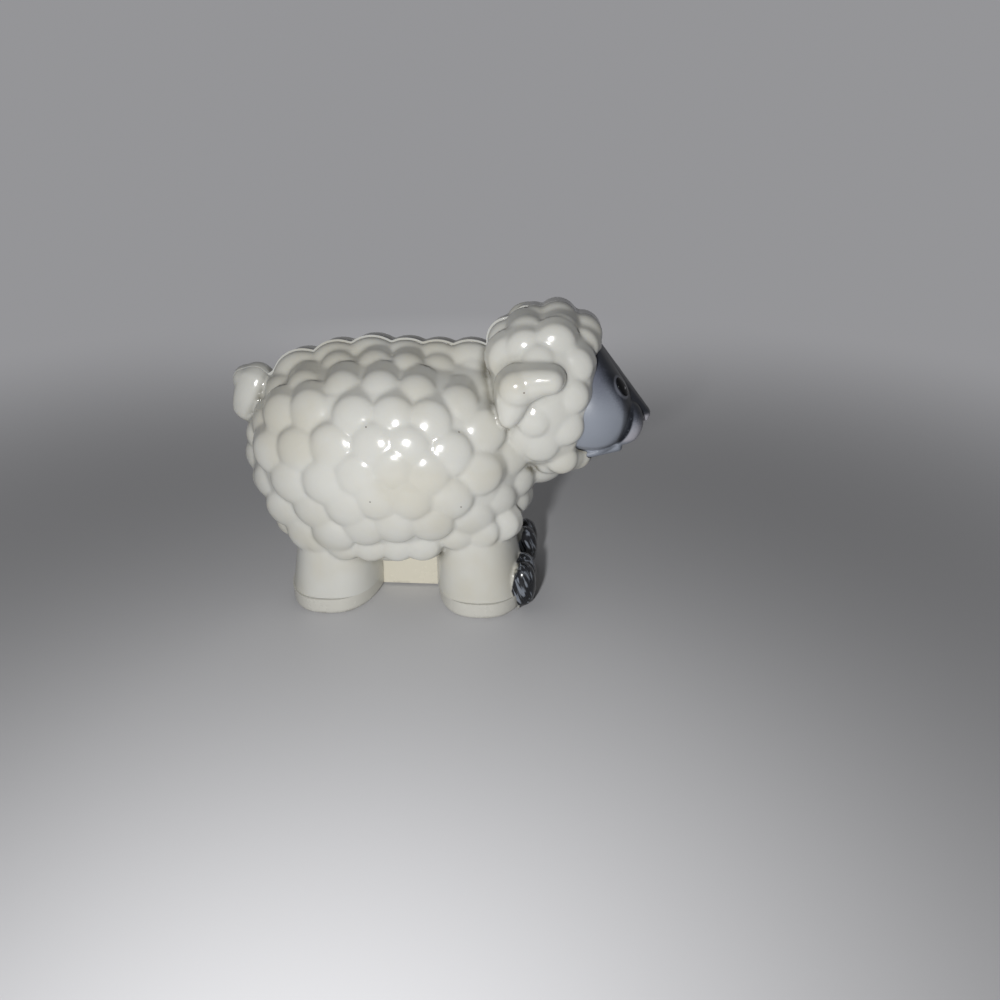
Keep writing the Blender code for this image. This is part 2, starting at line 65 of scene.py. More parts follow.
# The form under the wool: a barrel body, haunches, full shoulders, the head and a swell under
# the chin, as the toolmaker blocks them out before any tuft is cut. Plain solid, never seen by
# itself.
body_middle = Vector((-0.0090, 0, 0.0290))
body_half = Vector((0.0274, 0.0190, 0.0200))
haunch_middle = Vector((-0.0205, 0, 0.0175))
haunch_half = Vector((0.0120, 0.0140, 0.0092))
shoulder_middle = Vector((0.0048, 0, 0.0293))
shoulder_half = Vector((0.0135, 0.0150, 0.0186))
head_middle = Vector((0.0190, 0, 0.0419))
head_half = Vector((0.0106, 0.0126, 0.0148))
head_lean = math.radians(8)
chin_middle = Vector((0.0226, 0, 0.0303))
chin_half = Vector((0.0064, 0.0088, 0.0044))
throat_middle = Vector((0.0182, 0, 0.0268))
throat_half = Vector((0.0056, 0.0056, 0.0038))
body_roundness = 0.874
head_roundness = 0.776
form_cuts = 30


def add_form(name, middle, half_size, roundness=1.0, cuts=form_cuts, tilt=0.0):
    """A rounded form: a cube drawn towards a ball, at its size and place, tilted nose up."""
    bpy.ops.object.select_all(action="DESELECT")
    bpy.ops.mesh.primitive_cube_add(size=1)
    form = bpy.context.object
    form.name = name
    bpy.ops.object.mode_set(mode="EDIT")
    bpy.ops.mesh.select_all(action="SELECT")
    bpy.ops.mesh.subdivide(number_cuts=cuts)
    bpy.ops.transform.tosphere(value=roundness)
    bpy.ops.object.mode_set(mode="OBJECT")
    bpy.context.view_layer.update()
    form.scale = [2 * half / side for half, side in zip(half_size, form.dimensions)]
    form.rotation_euler = (0, -tilt, 0)
    form.location = middle
    bpy.ops.object.transform_apply(location=True, rotation=True, scale=True)
    return form


def joined(name, pieces):
    """All the pieces as one mesh object."""
    bpy.ops.object.select_all(action="DESELECT")
    for piece in pieces:
        piece.select_set(True)
    bpy.context.view_layer.objects.active = pieces[0]
    bpy.ops.object.join()
    bpy.ops.object.transform_apply(location=True, rotation=True, scale=True)
    whole = bpy.context.object
    whole.name = name
    whole.data.name = name
    return whole


under_wool = joined("under_wool", [
    add_form("body_form", body_middle, body_half, body_roundness),
    add_form("haunch_form", haunch_middle, haunch_half),
    add_form("shoulder_form", shoulder_middle, shoulder_half),
    add_form("head_form", head_middle, head_half, head_roundness, form_cuts, -head_lean),
    add_form("chin_form", chin_middle, chin_half),
    add_form("throat_form", throat_middle, throat_half),
])

# The tufts: low round pegs of wool, close set over the whole animal and moulded in one with the
# shells. Each has a domed end, and sides that run straight towards the seam, the way the mould
# opens. They are broad and low in the middle of the flank, where the domes lean with the form under
# them, and smaller and prouder round the rim.
tuft_rim_radius = 0.0036
tuft_flank_radius = 0.0042
tuft_rim_depth = 0.0027
tuft_flank_depth = 0.0014
tuft_rim_rise = 0.0014
tuft_flank_rise = 0.0010
belly_tuft_rise = 0.0019
belly_slope_share = 0.4
belly_front_x = 0.0
flat_side_share = 1.1
head_tuft_depth = 0.0016
head_tuft_rise = 0.0010
head_side_depth = 0.0011
head_side_rise = 0.0006
chin_tuft_rise = 0.0005
head_tuft_spread = 1.30
skirt_tuft_radius = 0.0036
tuft_draft = 1.22
draft_start = 0.0045
back_tuft_radius = 0.0062
crest_tuft_radius = 0.0038
crest_row_side = -0.0022
first_ring_side = -0.0012
tuft_spacing = 0.0052
seam_ring_share = 0.80
side_ring_share = 0.84
flank_lean = 0.65
head_side_lean = 0.50
face_edge_x = 0.0275
face_edge_z = 0.0500
throat_front_x = 0.0185
chin_low_z = 0.0300
seam_side = -0.0016
well_clear = 0.120
sight_steps = 800

# Right flank, row by row from the back to the belly
flank_tufts_px = (
    (300, 359), (336, 362), (374, 361), (407, 364), (440, 364), (474, 363),
    (275, 388), (301, 384), (341, 387), (379, 387), (416, 391), (459, 402),
    (262, 424), (281, 416), (309, 412), (354, 419), (392, 420), (428, 424), (484, 432),
    (251, 457), (271, 453), (297, 451), (331, 448), (374, 447), (406, 450), (449, 455),
    (511, 457), (266, 484), (290, 483), (323, 484), (356, 477), (392, 470), (427, 475),
    (480, 475), (520, 483), (284, 511), (314, 511), (346, 508), (376, 500), (410, 500),
    (450, 500), (499, 503), (516, 505), (306, 535), (334, 534), (362, 529), (394, 526),
    (431, 524), (473, 520), (497, 530), (331, 556), (357, 557), (386, 556), (420, 555),
    (458, 548),
)
# Right side of the head and the throat: the middle of each tuft and its radius. Prouder ones stand
# round the edge, flat ones on the side, and low ones hang under the chin.
head_edge_tufts_px = (
    (588, 339, 15), (556, 343, 17), (507, 358, 19), (524, 349, 17), (576, 367, 16.5),
    (572, 398, 15.5), (566, 430, 16), (513, 460, 15),
)
head_side_tufts_px = ((538, 361, 13), (533, 423, 13), (540, 447, 15), (520, 440, 15))
chin_tufts_px = ((585, 458, 12), (562, 459, 13), (543, 466, 13))
# Along the skirt of the wool, over the legs and between them: where the lower edge of each tuft
# is seen, and how far it stands from the middle
skirt_row_px = (
    (322, 553, -0.0130), (346, 559.5, -0.0138), (371, 561, -0.0140), (397, 561, -0.0140),
    (422, 560.5, -0.0138), (455, 549.5, -0.0132), (480, 548.5, -0.0126), (500, 541, -0.0110),
)
# Beside the seam, over the back and over the head: where the top of each tuft is seen
back_row_px = ((303, 350), (338, 341), (372, 336.5), (406, 339.3), (437, 341), (470, 341))
crest_row_px = ((497, 322), (530, 305), (562, 301), (594, 317))

tuft_places = []


def meeting(start, direction):
    """Where this line first meets the form, or else where it passes nearest to it."""
    found, place, outward, _ = under_wool.ray_cast(start, direction)
    if found:
        return place.copy(), outward.copy()
    reach = 2 * well_clear
    steps = [start + direction * (reach * step / sight_steps) for step in range(sight_steps)]
    nearest = [(under_wool.closest_point_on_mesh(step), step) for step in steps]
    hit, _ = min(nearest, key=lambda pair: (pair[0][1] - pair[1]).length)
    return hit[1].copy(), hit[2].copy()


def crest_place(place_px, seen_side=seam_side, row_side=crest_row_side):
    """Where a place seen this far from the middle lies, moved sideways onto its row."""
    sight = sight_line(place_px)
    seen = sight_point + sight * ((seen_side - sight_point.y) / sight.y)
    return Vector((seen.x, row_side, seen.z))


for place_px in flank_tufts_px:
    place, outward = meeting(sight_point, sight_line(place_px))
    flat = min(1.0, outward.y ** 2 * flat_side_share)
    radius = tuft_rim_radius + (tuft_flank_radius - tuft_rim_radius) * flat
    depth = tuft_rim_depth + (tuft_flank_depth - tuft_rim_depth) * flat
    rise = tuft_rim_rise + (tuft_flank_rise - tuft_rim_rise) * flat
    if outward.z < -belly_slope_share and place.x < belly_front_x:
        rise = belly_tuft_rise
    tuft_places.append((place, outward, radius, depth, rise, flank_lean * flat))
head_groups = (
    (head_edge_tufts_px, head_tuft_depth, head_tuft_rise, 0),
    (head_side_tufts_px, head_side_depth, head_side_rise, head_side_lean),
    (chin_tufts_px, head_tuft_depth, chin_tuft_rise, 0),
)
for group, depth, rise, lean in head_groups:
    for across_px, down_px, radius_px in group:
        place, outward = meeting(sight_point, sight_line((across_px, down_px)))
        distance = -(camera.matrix_world.inverted() @ place).z
        radius = head_tuft_spread * radius_px * distance / picture_focal_px
        tuft_places.append((place, outward, radius, depth, rise, lean))
for place_px in back_row_px:
    place = crest_place(place_px)
    tuft_places.append((place, Vector((0, 0, 1)), back_tuft_radius, tuft_rim_depth, 0))
for place_px in crest_row_px:
    place = crest_place(place_px)
    outward = Vector((place.x - head_middle.x, 0, place.z - head_middle.z)).normalized()
    tuft_places.append((place, outward, crest_tuft_radius, tuft_rim_depth, 0))
for across_px, down_px, row_side in skirt_row_px:
    place = crest_place((across_px, down_px), row_side, row_side)
    tuft_places.append((place, Vector((0, 0, -1)), skirt_tuft_radius, tuft_flank_depth, 0))
# Even rings over all that is still bare, save where the face goes and under the chin
for middle, half_size in ((body_middle, body_half), (head_middle, head_half)):
    for ring in range(int(half_size.y / tuft_spacing) + 1):
        steps = int(math.tau * half_size.x / tuft_spacing)
        least = tuft_spacing * (side_ring_share if ring else seam_ring_share)
        for step in range(steps):
            angle = math.tau * (step + 0.5 * (ring % 2)) / steps
            inward = Vector((-math.cos(angle), 0, -math.sin(angle)))
            beside = Vector((0, first_ring_side - ring * tuft_spacing, 0))
            place, outward = meeting(middle - inward * well_clear + beside, inward)
            in_face = place.x > face_edge_x and place.z < face_edge_z
            under_chin = place.x > throat_front_x and place.z < chin_low_z
            bare = all((place - other[0]).length > least for other in tuft_places)
            if bare and not in_face and not under_chin:
                tuft_places.append((place, outward, tuft_rim_radius, tuft_rim_depth, tuft_rim_rise))

# The peg that every tuft is a copy of, one for each side: a ball whose inner half is drawn out, and
# widened as the mould needs it, save beside the seam
pegs = {}
for side, draft in ((-1, 1), (1, 1), (-1, tuft_draft), (1, tuft_draft)):
    bpy.ops.object.select_all(action="DESELECT")
    bpy.ops.mesh.primitive_ico_sphere_add(subdivisions=4, radius=1)
    peg = bpy.context.object
    for vertex in peg.data.vertices:
        if vertex.co.y * side < 0:
            vertex.co = (vertex.co.x * draft, vertex.co.y - side, vertex.co.z * draft)
    pegs[side, draft] = peg
wool_pieces = [under_wool]


def set_pegs(place, outward, radius, depth, rise, lean=0):
    """A peg on each side, whose domed end stands this far out of the form at its place, and leans
    by this share of the form's slope."""
    lean_x = -lean * outward.x / outward.y * radius if lean else 0
    lean_z = -lean * outward.z / outward.y * radius if lean else 0
    shape = Matrix(((radius, 0, 0), (lean_x, depth, lean_z), (0, 0, radius)))
    middle = place + outward * (rise - (shape.transposed() @ outward).length)
    for side in (-1, 1):
        pattern = pegs[side, tuft_draft if abs(middle.y) > draft_start else 1]
        piece = pattern.copy()
        piece.data = pattern.data.copy()
        bpy.context.collection.objects.link(piece)
        flip = Matrix.Diagonal((1, -side * math.copysign(1, -middle.y), 1))
        piece.data.transform(Matrix.Translation(flip @ middle) @ (flip @ shape @ flip).to_4x4())
        wool_pieces.append(piece)


for tuft in tuft_places:
    set_pegs(*tuft)

# The ears: each a fat comma that lies on the wool, its blunt root behind the eye and its round
# end over the neck, with a steep upper edge. They are moulded in one with the shells.
ear_line_px = ((550, 381, 13), (540, 382, 14.5), (529, 385, 17), (519, 389, 19.5), (516, 398, 17),
               (514, 408, 14), (512, 416, 10))
ear_depth = 0.0017
ear_rise = 0.0037
ear_end_rise = 0.0030
ear_dome_px = (521, 388, 19)
ear_dome_depth = 0.0022
ear_dome_rise = 0.0042
ear_beads = 24

ear_knots = []
for across_px, down_px, radius_px in (*ear_line_px, ear_dome_px):
    place, outward = meeting(sight_point, sight_line((across_px, down_px)))
    distance = -(camera.matrix_world.inverted() @ place).z
    ear_knots.append((place, outward, radius_px * distance / picture_focal_px))
set_pegs(*ear_knots.pop(), ear_dome_depth, ear_dome_rise)
for bead in range(ear_beads + 1):
    along = bead / ear_beads * (len(ear_knots) - 1)
    first = min(int(along), len(ear_knots) - 2)
    part = along - first
    place, outward, radius = [here + (there - here) * part
                              for here, there in zip(ear_knots[first], ear_knots[first + 1])]
    set_pegs(place, outward.normalized(), radius, ear_depth,
             ear_rise + (ear_end_rise - ear_rise) * bead / ear_beads)

# The tail: a lobe that leans back from the rump with a rounder one on top, split down its length
# by the seam as the body is.
tail_middle = Vector((-0.0356, 0, 0.0398))
tail_half = Vector((0.0037, 0.0042, 0.0060))
tail_lean = math.radians(20)
tail_top_middle = Vector((-0.0363, 0, 0.0422))
tail_top_half = Vector((0.0030, 0.0032, 0.0030))
tail_roundness = 0.80
tail_top_roundness = 0.95
small_form_cuts = 16

wool_pieces += [
    add_form("tail", tail_middle, tail_half, tail_roundness, small_form_cuts, -tail_lean),
    add_form("tail_top", tail_top_middle, tail_top_half, tail_top_roundness, small_form_cuts),
]

# The legs: four thick stumps with flat inner sides, their outer ends slanting in, moulded in one
# with the shells. Two rounded toes on each front leg reach down in front of the pad under it.
leg_half_length = 0.0091
leg_half_spread = 0.0154
leg_top_share = 0.80
leg_top_height = 0.0200
leg_end_height = 0.00356
rear_leg_x = -0.0215
front_leg_x = 0.0081
spine_half_width = 0.0032
leg_fullness = 2.5
leg_steps = 96
toe_half = Vector((0.0026, 0.0028, 0.0047))
toe_roundness = 0.93
toe_middle_z = 0.0050
toe_reach = 0.0108
toe_sides = (0.0058, 0.0096)
toe_back_x = 0.0150
foot_gap = 0.0003


def foot_outline(middle_x, inset, side, inner):
    """Half an oval: flat towards the middle of the animal, round on the outside."""
    points = []
    for step in range(leg_steps + 1):
        angle = math.pi * step / leg_steps
        across = math.copysign(abs(math.cos(angle)) ** (2 / leg_fullness), math.cos(angle))
        out = math.sin(angle) ** (2 / leg_fullness)
        points.append((middle_x + (leg_half_length - inset) * across,
                       side * (inner + (leg_half_spread - inset - inner) * out)))
    return points


def full_oval(middle_x, inset=0):
    """The outline of both feet together, each half on its own side."""
    right = foot_outline(middle_x, inset, -1, 0)
    left = foot_outline(middle_x, inset, 1, 0)
    return right + left[-2:0:-1]


def add_prism(name, outline, low, high):
    """An outline drawn as one face, then pulled up."""
    mesh = bpy.data.meshes.new(name)
    mesh.from_pydata([(x, y, low) for x, y in outline], [], [range(len(outline))])
    prism = bpy.data.objects.new(name, mesh)
    bpy.context.collection.objects.link(prism)
    bpy.ops.object.select_all(action="DESELECT")
    prism.select_set(True)
    bpy.context.view_layer.objects.active = prism
    bpy.ops.object.mode_set(mode="EDIT")
    bpy.ops.mesh.select_all(action="SELECT")
    bpy.ops.mesh.extrude_region_move(TRANSFORM_OT_translate={"value": (0, 0, high - low)})
    bpy.ops.object.mode_set(mode="OBJECT")
    return prism


def outward_faces(piece):
    """Its double points merged and its faces turned outwards."""
    bpy.ops.object.select_all(action="DESELECT")
    piece.select_set(True)
    bpy.context.view_layer.objects.active = piece
    bpy.ops.object.mode_set(mode="EDIT")
    bpy.ops.mesh.select_all(action="SELECT")
    bpy.ops.mesh.remove_doubles(threshold=0.000001)
    bpy.ops.mesh.normals_make_consistent(inside=False)
    bpy.ops.object.mode_set(mode="OBJECT")


for leg_x in (rear_leg_x, front_leg_x):
    for side in (1, -1):
        leg = add_prism("leg", foot_outline(leg_x, 0, side, spine_half_width), 0, leg_top_height)
        inner_x = leg_x + math.copysign(leg_half_length, front_leg_x + rear_leg_x - 2 * leg_x)
        inner_y = side * spine_half_width
        for vertex in leg.data.vertices:
            if vertex.co.z > leg_top_height / 2:
                vertex.co.x = inner_x + (vertex.co.x - inner_x) * leg_top_share
                vertex.co.y = inner_y + (vertex.co.y - inner_y) * leg_top_share
        outward_faces(leg)
        wool_pieces.append(leg)
for toe_side in toe_sides:
    for side in (1, -1):
        toe_middle = (front_leg_x + toe_reach - toe_half.x, side * toe_side, toe_middle_z)
        wool_pieces.append(add_form("toe", toe_middle, toe_half, toe_roundness, small_form_cuts))

# The wool skin: everything above melted into one moulded surface, then parted along the seam
# into a right and a left shell with hollow legs that end on the base cap.
wool_grain = 0.00033
wool_softening_steps = 5
softening_share = 0.5
fit_clearance = 0.0003
spine_top = 0.0092
spine_reach = 0.0057

for pattern in pegs.values():
    bpy.data.objects.remove(pattern, do_unlink=True)
wool = joined("wool", wool_pieces)


def melted(piece, grain, softening_steps):
    """One closed skin round the overlapping forms, with softened valleys."""
    bpy.ops.object.select_all(action="DESELECT")
    piece.select_set(True)
    bpy.context.view_layer.objects.active = piece
    remesh = piece.modifiers.new("skin", "REMESH")
    remesh.mode = "VOXEL"
    remesh.voxel_size = grain
    bpy.ops.object.modifier_apply(modifier="skin")
    soften = piece.modifiers.new("soften", "SMOOTH")
    soften.factor = softening_share
    soften.iterations = softening_steps
    bpy.ops.object.modifier_apply(modifier="soften")
    return piece


melted(wool, wool_grain, wool_softening_steps)


def carved(piece, tool, how="DIFFERENCE", solver="MANIFOLD"):
    """The tool's shape cut out of the piece, or added to it."""
    bpy.ops.object.select_all(action="DESELECT")
    piece.select_set(True)
    bpy.context.view_layer.objects.active = piece
    cut = piece.modifiers.new("cut", "BOOLEAN")
    cut.operation = how
    cut.solver = solver
    cut.object = tool
    bpy.ops.object.modifier_apply(modifier="cut")
    bpy.data.objects.remove(tool, do_unlink=True)
    return piece


def add_block(low, high):
    """A plain box between two corners."""
    low, high = Vector(low), Vector(high)
    bpy.ops.object.select_all(action="DESELECT")
    bpy.ops.mesh.primitive_cube_add(size=1, location=(low + high) / 2, scale=high - low)
    bpy.ops.object.transform_apply(location=True, rotation=True, scale=True)
    return bpy.context.object


far_low = (-well_clear, -well_clear, -well_clear)
far_high = (well_clear, well_clear, well_clear)
carved(wool, add_block(far_low, (toe_back_x, well_clear, leg_end_height)))
pad_room = add_prism("pad_room", full_oval(front_leg_x, -foot_gap), -foot_gap, leg_end_height)
outward_faces(pad_room)
carved(wool, pad_room)
carved(wool, add_block(far_low, (well_clear, well_clear, foot_gap)))
slot_reach = spine_reach + fit_clearance
slot_half_width = spine_half_width + fit_clearance
carved(wool, add_block((rear_leg_x - slot_reach, -slot_half_width, -well_clear),
                       (front_leg_x + slot_reach, slot_half_width, spine_top + fit_clearance)))

# The face: one smooth piece of blue-grey plastic let into the head. Each cheek is a flat swell with
# a steep front edge that runs up into the brow; the forehead falls straight to a thin nose lip over
# a split muzzle. Painted shade darkens the top of the head and the forehead, which face away from
# the light, and darker painted shade lies along the forehead's ridge and in the crease round each
# cheek.
cheek_middle = Vector((0.0281, 0.0032, 0.0387))
cheek_half = Vector((0.0074, 0.0066, 0.0076))
cheek_roundness = 0.84
cheek_cuts = 24
brow_middle = Vector((0.0266, 0, 0.0483))
brow_half = Vector((0.0034, 0.0066, 0.0034))
nose_middle = Vector((0.0384, 0, 0.0373))
nose_half = Vector((0.0010, 0.0020, 0.0010))
nose_lip_middle = Vector((0.0385, 0, 0.0369))
nose_lip_half = Vector((0.0008, 0.0017, 0.0012))
nose_lip_roundness = 0.85
nose_lip_tilt = math.radians(-10)
muzzle_middle = Vector((0.0337, 0.0034, 0.0365))
muzzle_half = Vector((0.0041, 0.0032, 0.0044))
muzzle_roundness = 0.93
muzzle_cuts = 20
jaw_middle = Vector((0.0290, 0, 0.0309))
jaw_half = Vector((0.0054, 0.0058, 0.0013))
jaw_roundness = 0.70
jaw_tilt = math.radians(14)
jaw_lip_middle = Vector((0.0334, 0, 0.0320))
jaw_lip_half = Vector((0.0010, 0.0052, 0.0015))
jaw_lip_roundness = 0.75
lip_cuts = 12
face_back_x = 0.0203
flange_middle = Vector((0.0213, 0, 0.0387))
flange_half = Vector((0.0010, 0.0084, 0.0076))
flange_roundness = 0.50
face_grain = 0.00018
face_softening_steps = 2
socket_gap = 0.0002
eye_px = (622.8, 386.4)
eye_half = Vector((0.0014, 0.0019, 0.00045))


def tight_skin(name, pieces):
    """The skin drawn tight over some forms."""
    whole = joined(name, pieces)
    bpy.ops.object.mode_set(mode="EDIT")
    bpy.ops.mesh.select_all(action="SELECT")
    bpy.ops.mesh.convex_hull()
    bpy.ops.object.mode_set(mode="OBJECT")
    return whole


def face_form(name, grow):
    """The face, or its socket when every form is grown by a gap."""
    grown = Vector((grow, grow, grow))
    brow = (brow_middle, brow_half + grown, muzzle_roundness, small_form_cuts)
    nose = (nose_middle, nose_half + grown, muzzle_roundness, small_form_cuts)
    nose_lip = (nose_lip_middle, nose_lip_half + grown, nose_lip_roundness, lip_cuts, nose_lip_tilt)
    jaw = (jaw_middle, jaw_half + grown, jaw_roundness, muzzle_cuts, jaw_tilt)
    jaw_lip = (jaw_lip_middle, jaw_lip_half + grown, jaw_lip_roundness, lip_cuts, jaw_tilt)
    cheeks = []
    pieces = []
    for side in (-1, 1):
        middle = Vector((cheek_middle.x, side * cheek_middle.y, cheek_middle.z))
        cheeks.append(add_form("cheek", middle, cheek_half + grown, cheek_roundness, cheek_cuts))
        middle = Vector((muzzle_middle.x, side * muzzle_middle.y, muzzle_middle.z))
        muzzle = (middle, muzzle_half + grown, muzzle_roundness, muzzle_cuts)
        pieces.append(add_form("muzzle", *muzzle))
    pieces += [
        tight_skin("cheeks", cheeks + [add_form("brow", *brow)]),
        tight_skin("forehead", [add_form("brow", *brow), add_form("nose", *nose)]),
        add_form("nose_lip", *nose_lip),
        tight_skin("jaws", [add_form("jaw", *jaw), add_form("jaw_lip", *jaw_lip)]),
        add_form("flange", flange_middle, flange_half + grown, flange_roundness),
    ]
    return melted(joined(name, pieces), face_grain, face_softening_steps)


face = face_form("face_insert_skin", 0)
carved(face, add_block(far_low, (face_back_x, well_clear, well_clear)))
carved(wool, face_form("socket", socket_gap))
_, eye_place, eye_outward, _ = face.ray_cast(sight_point, sight_line(eye_px))

face_blue_grey = (0.262, 0.285, 0.332, 1)
# The next two colours are painted shade: the first for the top of the head and the forehead, the
# second, darker, for the forehead's ridge and the creases round the cheeks
face_shade_slate = (0.118, 0.128, 0.165, 1)
face_shade_dark = (0.009, 0.011, 0.016, 1)
face_pale = (0.440, 0.430, 0.470, 1)
eye_rim_grey = (0.20, 0.21, 0.25, 1)
face_specular = 0.3
# Each pair says where a shade starts and where it is full
edge_grain_scale = 3600.0
edge_grain_reach = 0.0016
crease_shade_grain_fade = (0.05, 0.42)
forehead_fall = 1.27
crown_fade = (0.0400, 0.0480)
forehead_fade = (0.0812, 0.0860)
ridge_fade = (0.0826, 0.0868)
ridge_share = 0.90
cheek_ring_middle = (cheek_middle.x, 0.0070, cheek_middle.z)
cheek_ring_half = (0.0074, 0.0200, 0.0080)
cheek_ring_inner = (0.66, 0.97)
cheek_ring_outer = (1.06, 1.00)
cheek_front_fade = (0.0288, 0.0325)
cheek_side_fade = (0.0045, 0.0060)
muzzle_pale_fade = (0.0392, 0.0352)
muzzle_pale_edge = (1.0, 1.08)
muzzle_pale_low = (0.0326, 0.0340)
muzzle_pale_share = 0.85
lip_pale_middle = (0.0386, 0.0, 0.0364)
lip_pale_half = (0.0014, 0.0040, 0.0016)
lip_pale_fade = (1.0, 0.55)
eye_ring_half = (0.0020, 0.0020, 0.0021)
eye_ring_inner = (0.80, 0.92)
eye_ring_outer = (1.20, 1.02)
eye_ring_share = 0.6
# The surface of all the plastics, in ripples to the metre
gloss_patch_scale = 90.0
gloss_rub_scale = 1400.0
gloss_rub_share = 0.35
gloss_low, gloss_high = 0.4, 0.95
ripple_scale = 420.0
ripple_height = 0.0002
crease_angle = math.radians(50)


def add_node(tree, kind, sockets, **settings):
    """A shader node with its settings, and what each socket holds or is fed by."""
    node = tree.nodes.new("ShaderNode" + kind)
    for name, value in settings.items():
        setattr(node, name, value)
    for socket, value in sockets.items():
        if isinstance(value, bpy.types.NodeSocket):
            tree.links.new(value, node.inputs[socket])
        else:
            node.inputs[socket].default_value = value
    return node


def mixed(tree, share, under, over):
    return add_node(tree, "Mix", {0: share, 6: under, 7: over}, data_type="RGBA").outputs[2]


def counted(tree, how, *values):
    return add_node(tree, "Math", dict(enumerate(values)), operation=how).outputs[0]


def faded(tree, value, start, end):
    """0 before the start and 1 past the end, with a soft change between them."""
    return add_node(tree, "MapRange", {"Value": value, "From Min": start, "From Max": end},
                    interpolation_type="SMOOTHSTEP").outputs["Result"]


def grained(tree, places, scale, detail=3.0):
    grain = add_node(tree, "TexNoise", {"Vector": places, "Scale": scale, "Detail": detail})
    return grain.outputs["Fac"]


def reach_from(tree, places, middle, half_size):
    """How far a place lies from a middle: 1 on the oval of these half sizes."""
    moved = add_node(tree, "VectorMath", {0: places, 1: middle}, operation="SUBTRACT").outputs[0]
    shares = add_node(tree, "VectorMath", {0: moved, 1: half_size}, operation="DIVIDE").outputs[0]
    return add_node(tree, "VectorMath", {0: shares}, operation="LENGTH").outputs["Value"]


def new_plastic(name):
    """A plastic with its shader, its places, and the same places folded onto one side."""
    material = bpy.data.materials.new(name)
    material.use_nodes = True
    tree = material.node_tree
    places = add_node(tree, "TexCoord", {}).outputs["Object"]
    folded = add_node(tree, "VectorMath", {0: places}, operation="ABSOLUTE").outputs[0]
    return material, tree, tree.nodes["Principled BSDF"], places, folded


def moulded_surface(tree, shader, places, roughness_low, roughness_high, bump):
    """Gloss that varies in soft patches and fine rubs, over a faint moulded ripple."""
    patches = grained(tree, places, gloss_patch_scale)
    rubs = grained(tree, places, gloss_rub_scale, 6.0)
    blend = counted(tree, "MULTIPLY_ADD", rubs, gloss_rub_share, patches)
    gloss = add_node(tree, "MapRange", {
        "Value": blend, "From Min": gloss_low, "From Max": gloss_high,
        "To Min": roughness_low, "To Max": roughness_high,
    })
    tree.links.new(gloss.outputs["Result"], shader.inputs["Roughness"])
    ripple = grained(tree, places, ripple_scale, 2.0)
    raised = add_node(tree, "Bump", {"Height": ripple, "Strength": bump, "Distance": ripple_height})
    tree.links.new(raised.outputs["Normal"], shader.inputs["Normal"])


def dress(piece, material, slot, *nodes):
    """The finish, smooth shading, the body that the piece rides on and the solids it stands for."""
    piece.data.materials.clear()
    piece.data.materials.append(material)
    bpy.ops.object.select_all(action="DESELECT")
    piece.select_set(True)
    bpy.context.view_layer.objects.active = piece
    bpy.ops.object.shade_smooth_by_angle(angle=crease_angle)
    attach(piece, "root")
    if nodes:
        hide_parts(*nodes)


face_plastic, tree, shader, places, folded = new_plastic("face_plastic_satin")
along, across, up = add_node(tree, "SeparateXYZ", {0: folded}).outputs
speckle = grained(tree, places, edge_grain_scale, 2.0)
spread = counted(tree, "MULTIPLY_ADD", speckle, edge_grain_reach, up)
forward = counted(tree, "MULTIPLY_ADD", along, forehead_fall, spread)
# Painted shade towards the crown and over the forehead, which face away from the light
painted_top_shade = counted(tree, "MAXIMUM", faded(tree, spread, *crown_fade),
                    faded(tree, forward, *forehead_fade))
colour = mixed(tree, painted_top_shade, face_blue_grey, face_shade_slate)
# Painted shade, darker still, along the ridge of the forehead
painted_ridge_shade = counted(tree, "MULTIPLY", faded(tree, forward, *ridge_fade), ridge_share)
colour = mixed(tree, painted_ridge_shade, colour, face_shade_dark)
# Painted shade in the crease round the front of each cheek, with a grainy spray look
cheek_reach = reach_from(tree, folded, cheek_ring_middle, cheek_ring_half)
painted_crease_shade = counted(tree, "MULTIPLY", faded(tree, cheek_reach, *cheek_ring_inner),
                  faded(tree, cheek_reach, *cheek_ring_outer))
painted_crease_shade = counted(tree, "MULTIPLY", painted_crease_shade, faded(tree, along, *cheek_front_fade))
painted_crease_shade = counted(tree, "MULTIPLY", painted_crease_shade, faded(tree, across, *cheek_side_fade))
grainy_crease_shade = counted(tree, "MULTIPLY", painted_crease_shade, faded(tree, speckle, *crease_shade_grain_fade))
colour = mixed(tree, grainy_crease_shade, colour, face_shade_dark)
pale = counted(tree, "MULTIPLY", faded(tree, spread, *muzzle_pale_fade),
               faded(tree, cheek_reach, *muzzle_pale_edge))
pale = counted(tree, "MULTIPLY", pale, faded(tree, up, *muzzle_pale_low))
colour = mixed(tree, counted(tree, "MULTIPLY", pale, muzzle_pale_share), colour, face_pale)
lip_reach = reach_from(tree, folded, lip_pale_middle, lip_pale_half)
colour = mixed(tree, faded(tree, lip_reach, *lip_pale_fade), colour, face_pale)
eye_reach = reach_from(tree, folded, (eye_place.x, -eye_place.y, eye_place.z), eye_ring_half)
eye_ring = counted(tree, "MULTIPLY", faded(tree, eye_reach, *eye_ring_inner),
                   faded(tree, eye_reach, *eye_ring_outer))
colour = mixed(tree, counted(tree, "MULTIPLY", eye_ring, eye_ring_share), colour, eye_rim_grey)
tree.links.new(colour, shader.inputs["Base Color"])
shader.inputs["Specular IOR Level"].default_value = face_specular
moulded_surface(tree, shader, places, roughness_low=0.30, roughness_high=0.46, bump=0.12)
dress(face, face_plastic, "face_plastic", "face_insert")

# The eyes: black ovals in thick gloss paint that stands a little proud beside the forehead, each
# with a painted highlight: a small pale spot in place of the lamp's reflection.
eye_sunk = 0.0001
eye_specular = 0.15
eye_black = (0.004, 0.004, 0.005, 1)
eye_painted_highlight = (0.55, 0.55, 0.58, 1)
painted_highlight_rise = 0.0005
painted_highlight_half = (0.00028, 0.00060, 0.00050)
painted_highlight_fade = (1.1, 0.8)

